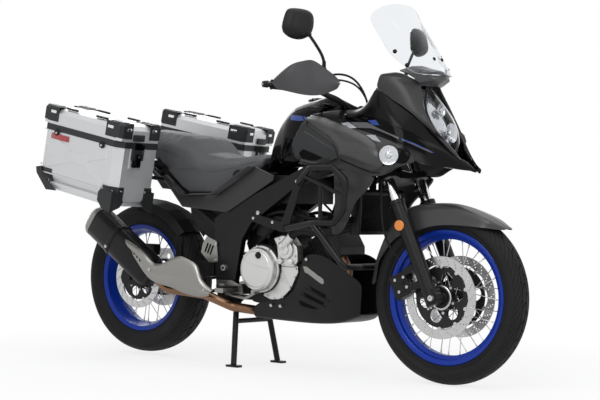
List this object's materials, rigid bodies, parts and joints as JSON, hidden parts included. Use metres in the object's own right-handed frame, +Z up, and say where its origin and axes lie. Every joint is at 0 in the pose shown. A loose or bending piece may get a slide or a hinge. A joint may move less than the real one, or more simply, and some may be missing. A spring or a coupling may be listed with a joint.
{
  "type": "adventure motorcycle",
  "caption": "Tall two-wheeled motorcycle on its centre stand, with wire-spoke wheels, a clear screen, hand guards, crash bars and aluminium side cases with hinged lids.",
  "frame": {"origin": "centre of the bounding box on the floor the machine stands on", "axes": "+X forward, +Y to the rider's left, +Z up"},
  "size_m": [2.276, 0.9704, 1.444],
  "materials": {
    "black_metal": "satin",
    "grey_metal": "satin",
    "silver_metal": "satin",
    "case_aluminium": "satin",
    "bright_steel": "brushed",
    "chrome": "polished",
    "blue_rim": "gloss",
    "tyre": "matte",
    "black_plastic": "matte",
    "charcoal_plastic": "satin",
    "black_gloss": "gloss",
    "seat_cover": "matte",
    "clear_screen": "clear",
    "lamp_lens": "clear",
    "red_lens": "gloss",
    "rubber": "matte",
    "hot_steel": "satin"
  },
  "bodies": {
    "chassis": {"rear_caliper": "black_metal", "main_frame": "black_metal", "subframe": "black_metal", "swingarm": "black_metal", "rear_shock": "black_metal", "chain": "bright_steel", "rear_hugger": "black_plastic", "engine": "black_metal", "engine_covers": "silver_metal", "lower_cowls": "charcoal_plastic", "beak_blades": "black_gloss", "upper_cowl": "charcoal_plastic", "radiator": "black_metal", "belly_pan": "black_plastic", "crash_bars": "black_metal", "muffler": "black_metal", "exhaust_pipe": "hot_steel", "exhaust_shields": "silver_metal", "fuel_tank": "black_gloss", "seat": "seat_cover", "side_covers": "black_plastic", "air_box": "black_plastic", "headlamp": "lamp_lens", "windscreen": "clear_screen", "dash_stay": "black_plastic", "rear_rack": "black_metal", "tail_lamp": "red_lens", "tail_cowl": "black_plastic", "turn_lamps": "lamp_lens", "right_case": "case_aluminium", "left_case": "case_aluminium", "case_trim": "black_plastic", "case_carriers": "black_metal", "foot_rests": "silver_metal", "pedals": "black_metal"},
    "steering": {"fork_lowers": "black_metal", "fork_tubes": "chrome", "triple_clamps": "black_metal", "front_calipers": "black_metal", "handlebar": "black_metal", "bar_controls": "rubber", "hand_guards": "black_plastic", "mirrors": "black_plastic", "front_fender": "charcoal_plastic"},
    "front_wheel": {"front_tyre": "tyre", "front_rim": "blue_rim", "front_hub": "black_metal", "front_discs": "bright_steel"},
    "rear_wheel": {"rear_tyre": "tyre", "rear_rim": "blue_rim", "rear_hub": "black_metal", "rear_disc_and_sprocket": "bright_steel"},
    "right_lid": {"right_lid": "case_aluminium", "right_lid_guards": "black_plastic"},
    "left_lid": {"left_lid": "case_aluminium", "left_lid_guards": "black_plastic"},
    "centre_stand": {"centre_stand": "black_metal"},
    "side_stand": {"side_stand": "black_metal"}
  },
  "joints": [
    {"name": "steering", "type": "hinge", "parent": "chassis", "child": "steering", "pos_m": [0.917, 0, 0], "axis": [-0.4305, 0, 0.9026], "range_deg": [-38, 38]},
    {"name": "front_wheel_spin", "type": "hinge", "parent": "steering", "child": "front_wheel", "pos_m": [0.808, 0, 0.33], "axis": [0, 1, 0], "continuous": true},
    {"name": "rear_wheel_spin", "type": "hinge", "parent": "chassis", "child": "rear_wheel", "pos_m": [-0.752, 0, 0.333], "axis": [0, 1, 0], "continuous": true},
    {"name": "right_lid_hinge", "type": "hinge", "parent": "chassis", "child": "right_lid", "pos_m": [-0.95601, -0.35025, 0.99625], "axis": [-0.056, -0.9984, 0], "range_deg": [0, 95]},
    {"name": "left_lid_hinge", "type": "hinge", "parent": "chassis", "child": "left_lid", "pos_m": [-0.95601, 0.35025, 1.01315], "axis": [0.056, -0.9984, 0], "range_deg": [0, 95]},
    {"name": "centre_stand_fold", "type": "hinge", "parent": "chassis", "child": "centre_stand", "pos_m": [-0.172, 0, 0.262], "axis": [0, 1, 0], "range_deg": [0, 95]},
    {"name": "side_stand_fold", "type": "hinge", "parent": "chassis", "child": "side_stand", "pos_m": [-0.118, 0.176, 0.262], "axis": [0, -0.9267, -0.3759], "range_deg": [0, 100]}
  ]
}
